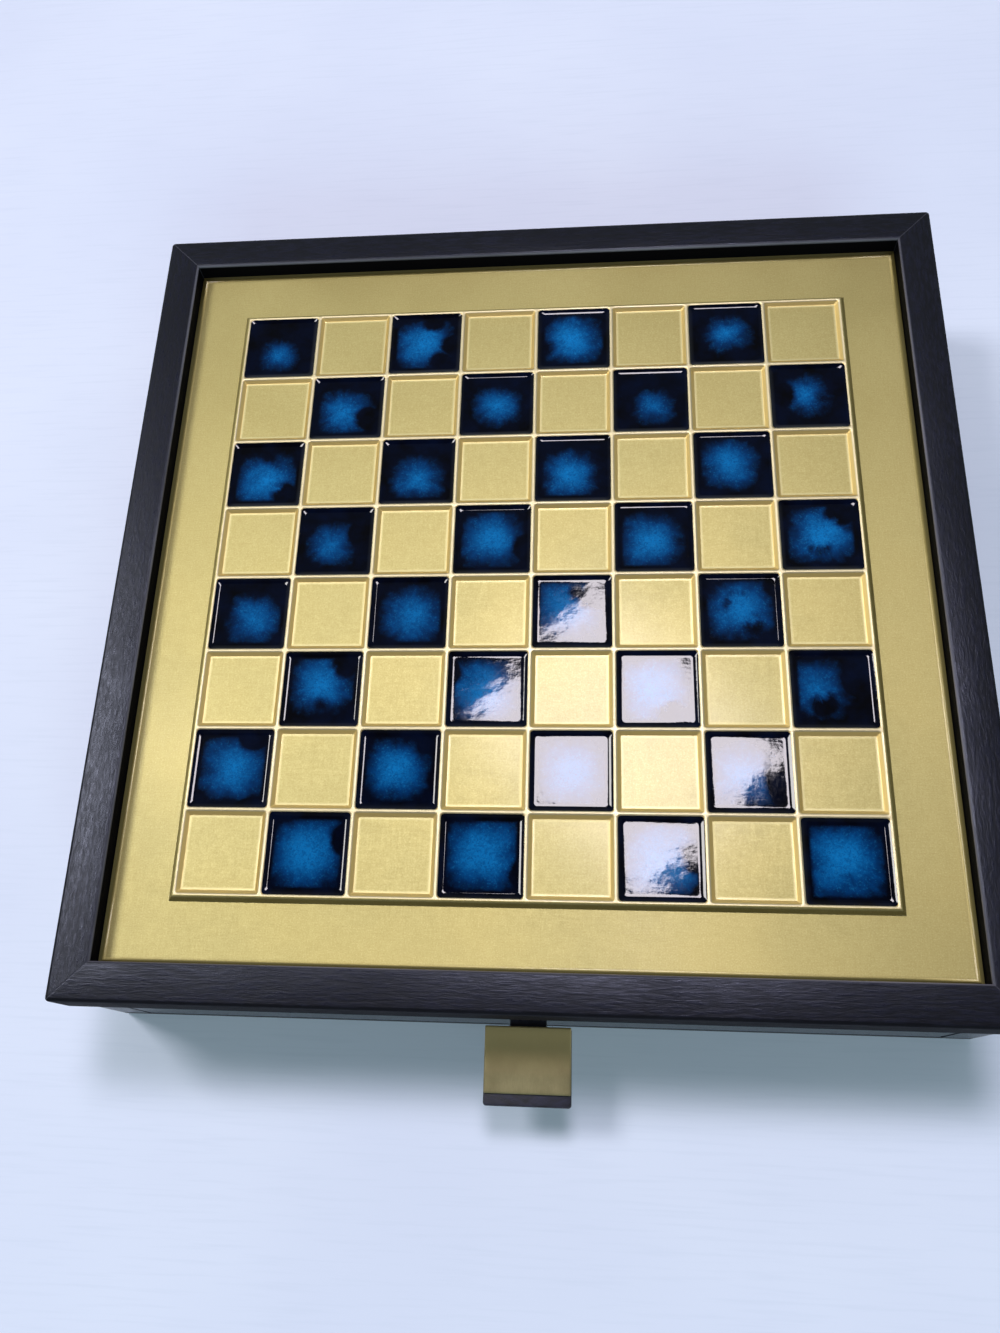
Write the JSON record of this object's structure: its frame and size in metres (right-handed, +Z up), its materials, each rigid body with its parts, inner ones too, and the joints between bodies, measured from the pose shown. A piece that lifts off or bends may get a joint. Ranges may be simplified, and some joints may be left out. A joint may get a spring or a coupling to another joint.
{
  "type": "chess box with drawers",
  "caption": "Square games board with raised metal squares in a leathered frame, on a shallow case whose drawers slide out at front and back by strap pulls.",
  "frame": {"origin": "middle of the underside, on the surface the box stands on", "axes": "+Z up, -Y the way the front drawer pulls out, +X to the right seen from the front"},
  "size_m": [0.282, 0.3296, 0.06],
  "materials": {
    "frame_leather": "fine grained leatherette, satin",
    "case_leather": "fine grained leatherette, satin",
    "pull_leather": "smooth strap leather",
    "plate_brass": "satin, fine brushed grain",
    "tab_brass": "dull aged brass",
    "blue_enamel": "glossy mottled enamel",
    "fibreboard": "raw",
    "dark_board": "covered in dark paper",
    "felt": "pressed felt",
    "velvet": "short pile velvet",
    "screw_steel": "zinc plated"
  },
  "bodies": {
    "case": {"frame_front": "frame_leather", "frame_back": "frame_leather", "frame_left": "frame_leather", "frame_right": "frame_leather", "board_plate": "plate_brass", "enamel_squares": "blue_enamel", "board_core": "fibreboard", "top_panel": "dark_board", "side_wall_left": "case_leather", "side_wall_right": "case_leather", "centre_partition": "fibreboard", "bottom_panel": "dark_board", "base_felt": "felt", "case_screws": "screw_steel"},
    "front_drawer": {"front_drawer_face": "case_leather", "front_drawer_inner_front": "dark_board", "front_drawer_left_side": "dark_board", "front_drawer_right_side": "dark_board", "front_drawer_back": "dark_board", "front_drawer_bottom": "dark_board", "front_drawer_lining": "velvet", "front_drawer_ribs": "velvet", "front_face_screws": "screw_steel", "front_pull_strap": "pull_leather", "front_pull_tab": "tab_brass"},
    "back_drawer": {"back_drawer_face": "case_leather", "back_drawer_inner_front": "dark_board", "back_drawer_left_side": "dark_board", "back_drawer_right_side": "dark_board", "back_drawer_back": "dark_board", "back_drawer_bottom": "dark_board", "back_drawer_lining": "velvet", "back_drawer_ribs": "velvet", "back_face_screws": "screw_steel", "back_pull_strap": "pull_leather", "back_pull_tab": "tab_brass"}
  },
  "joints": [
    {"name": "front_drawer_slide", "type": "slide", "parent": "case", "child": "front_drawer", "axis": [0, -1, 0], "range_m": [0, 0.105]},
    {"name": "back_drawer_slide", "type": "slide", "parent": "case", "child": "back_drawer", "axis": [0, 1, 0], "range_m": [0, 0.105]}
  ]
}
